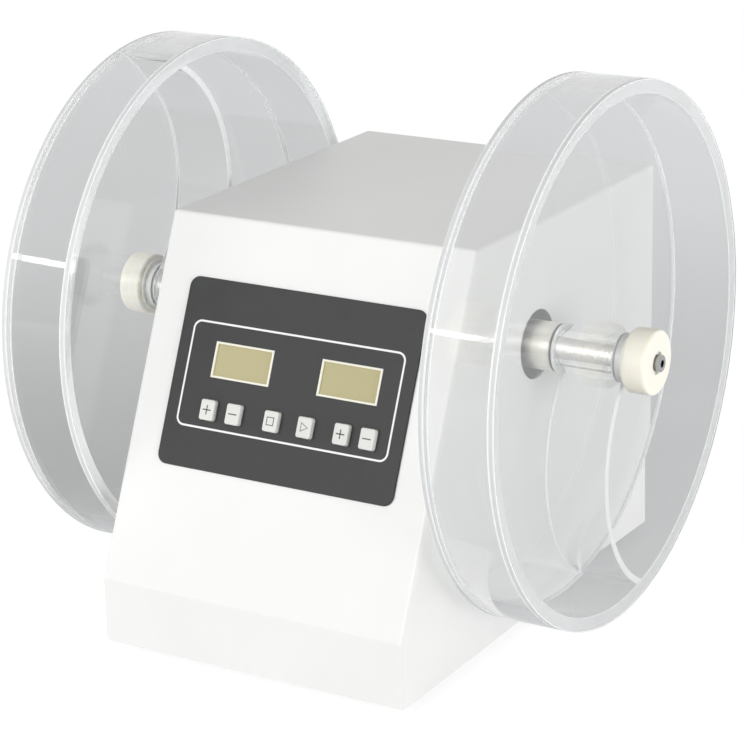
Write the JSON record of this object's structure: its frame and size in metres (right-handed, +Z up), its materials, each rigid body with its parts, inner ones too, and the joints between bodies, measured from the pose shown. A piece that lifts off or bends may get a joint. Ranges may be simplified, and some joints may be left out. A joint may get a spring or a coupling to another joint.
{
  "type": "tablet friability tester",
  "caption": "Bench tester with a sloped control front and a clear round drum with a curved baffle on each end of one driven spindle, clamped by hand nuts.",
  "frame": {"origin": "on the surface it stands on, below the middle of the spindle and of the whole outline", "axes": "+X along the spindle to the right drum, +Y to the back, +Z up"},
  "size_m": [0.349, 0.3, 0.316],
  "materials": {
    "casing_paint": "satin powder coat",
    "screw_steel": "zinc plated",
    "foot_rubber": "matt",
    "label_grey": "satin",
    "display_frame": "matt",
    "display_window": "glossy",
    "key_white": "satin",
    "black_plastic": "moulded",
    "circuit_board": "solder mask",
    "standoff_brass": "turned",
    "plate_steel": "zinc plated",
    "blackened_steel": "black oxide",
    "bush_bronze": "turned",
    "turned_steel": "turned",
    "collar_steel": "satin turned",
    "motor_metal": "satin",
    "index_aluminium": "satin",
    "clear_acrylic": "clear, polished",
    "nut_nylon": "satin"
  },
  "bodies": {
    "housing": {"base_plate": "casing_paint", "base_screws": "screw_steel", "board_standoffs": "standoff_brass", "control_board": "circuit_board", "control_label": "label_grey", "foot_front_left": "foot_rubber", "foot_front_right": "foot_rubber", "foot_rear_left": "foot_rubber", "foot_rear_right": "foot_rubber", "housing_shell": "casing_paint", "key_switches": "black_plastic", "left_bearing_bush": "bush_bronze", "left_bearing_plate": "blackened_steel", "left_display": "display_window", "left_display_bezel": "display_frame", "mains_inlet": "black_plastic", "motor_can": "motor_metal", "motor_gearbox": "motor_metal", "motor_screws": "screw_steel", "rear_panel": "casing_paint", "rear_panel_screws": "screw_steel", "right_bearing_bush": "bush_bronze", "right_bearing_plate": "blackened_steel", "right_display": "display_window", "right_display_bezel": "display_frame", "supply_board": "circuit_board", "supply_standoffs": "standoff_brass", "switch_housing": "black_plastic", "transformer": "plate_steel", "turn_sensor": "black_plastic"},
    "spindle_drums": {"spindle": "turned_steel", "drum_gear": "plate_steel", "index_disc": "index_aluminium", "set_screws": "screw_steel", "left_spindle_collar": "collar_steel", "left_drum_back": "clear_acrylic", "left_drum_ring": "clear_acrylic", "left_drum_hub": "clear_acrylic", "left_drum_baffle": "clear_acrylic", "right_spindle_collar": "collar_steel", "right_drum_back": "clear_acrylic", "right_drum_ring": "clear_acrylic", "right_drum_hub": "clear_acrylic", "right_drum_baffle": "clear_acrylic"},
    "motor_output": {"motor_shaft": "turned_steel", "motor_pinion": "plate_steel"},
    "left_cover": {"left_drum_cover": "clear_acrylic"},
    "left_washer": {"left_nut_washer": "nut_nylon"},
    "left_nut": {"left_hand_nut": "nut_nylon"},
    "right_cover": {"right_drum_cover": "clear_acrylic"},
    "right_washer": {"right_nut_washer": "nut_nylon"},
    "right_nut": {"right_hand_nut": "nut_nylon"},
    "key_time_up": {"key_time_up": "key_white"},
    "key_time_down": {"key_time_down": "key_white"},
    "key_reset": {"key_reset": "key_white"},
    "key_start": {"key_start": "key_white"},
    "key_count_up": {"key_count_up": "key_white"},
    "key_count_down": {"key_count_down": "key_white"},
    "rocker": {"power_rocker": "black_plastic"}
  },
  "joints": [
    {"name": "drum_spin", "type": "hinge", "parent": "housing", "child": "spindle_drums", "pos_m": [0, 0, 0.166], "axis": [1, 0, 0], "continuous": true},
    {"name": "motor_spin", "type": "hinge", "parent": "housing", "child": "motor_output", "pos_m": [0, 0, 0.112], "axis": [1, 0, 0], "continuous": true},
    {"name": "left_washer_slide", "type": "slide", "parent": "spindle_drums", "child": "left_washer", "axis": [-1, 0, 0], "range_m": [0, 0.06]},
    {"name": "left_nut_turn", "type": "hinge", "parent": "left_washer", "child": "left_nut", "pos_m": [0, 0, 0.166], "axis": [1, 0, 0], "continuous": true},
    {"name": "left_cover_slide", "type": "slide", "parent": "spindle_drums", "child": "left_cover", "axis": [-1, 0, 0], "range_m": [0, 0.036]},
    {"name": "right_washer_slide", "type": "slide", "parent": "spindle_drums", "child": "right_washer", "axis": [1, 0, 0], "range_m": [0, 0.06]},
    {"name": "right_nut_turn", "type": "hinge", "parent": "right_washer", "child": "right_nut", "pos_m": [0, 0, 0.166], "axis": [1, 0, 0], "continuous": true},
    {"name": "right_cover_slide", "type": "slide", "parent": "spindle_drums", "child": "right_cover", "axis": [1, 0, 0], "range_m": [0, 0.036]},
    {"name": "time_up_press", "type": "slide", "parent": "housing", "child": "key_time_up", "axis": [0, 0.9154, -0.4026], "range_m": [0, 0.0008], "stiffness_N_per_m": 300, "springref_m": -0.002},
    {"name": "time_down_press", "type": "slide", "parent": "housing", "child": "key_time_down", "axis": [0, 0.9154, -0.4026], "range_m": [0, 0.0008], "stiffness_N_per_m": 300, "springref_m": -0.002},
    {"name": "reset_press", "type": "slide", "parent": "housing", "child": "key_reset", "axis": [0, 0.9154, -0.4026], "range_m": [0, 0.0008], "stiffness_N_per_m": 300, "springref_m": -0.002},
    {"name": "start_press", "type": "slide", "parent": "housing", "child": "key_start", "axis": [0, 0.9154, -0.4026], "range_m": [0, 0.0008], "stiffness_N_per_m": 300, "springref_m": -0.002},
    {"name": "count_up_press", "type": "slide", "parent": "housing", "child": "key_count_up", "axis": [0, 0.9154, -0.4026], "range_m": [0, 0.0008], "stiffness_N_per_m": 300, "springref_m": -0.002},
    {"name": "count_down_press", "type": "slide", "parent": "housing", "child": "key_count_down", "axis": [0, 0.9154, -0.4026], "range_m": [0, 0.0008], "stiffness_N_per_m": 300, "springref_m": -0.002},
    {"name": "rocker_tilt", "type": "hinge", "parent": "housing", "child": "rocker", "pos_m": [-0.058, 0.143, 0.038], "axis": [1, 0, 0], "range_deg": [-16, 0]}
  ],
  "couplings": [
    {"joint": "motor_spin", "follows": "drum_spin", "ratio": -2},
    {"joint": "left_cover_slide", "follows": "left_washer_slide", "ratio": 0.6},
    {"joint": "right_cover_slide", "follows": "right_washer_slide", "ratio": 0.6}
  ]
}
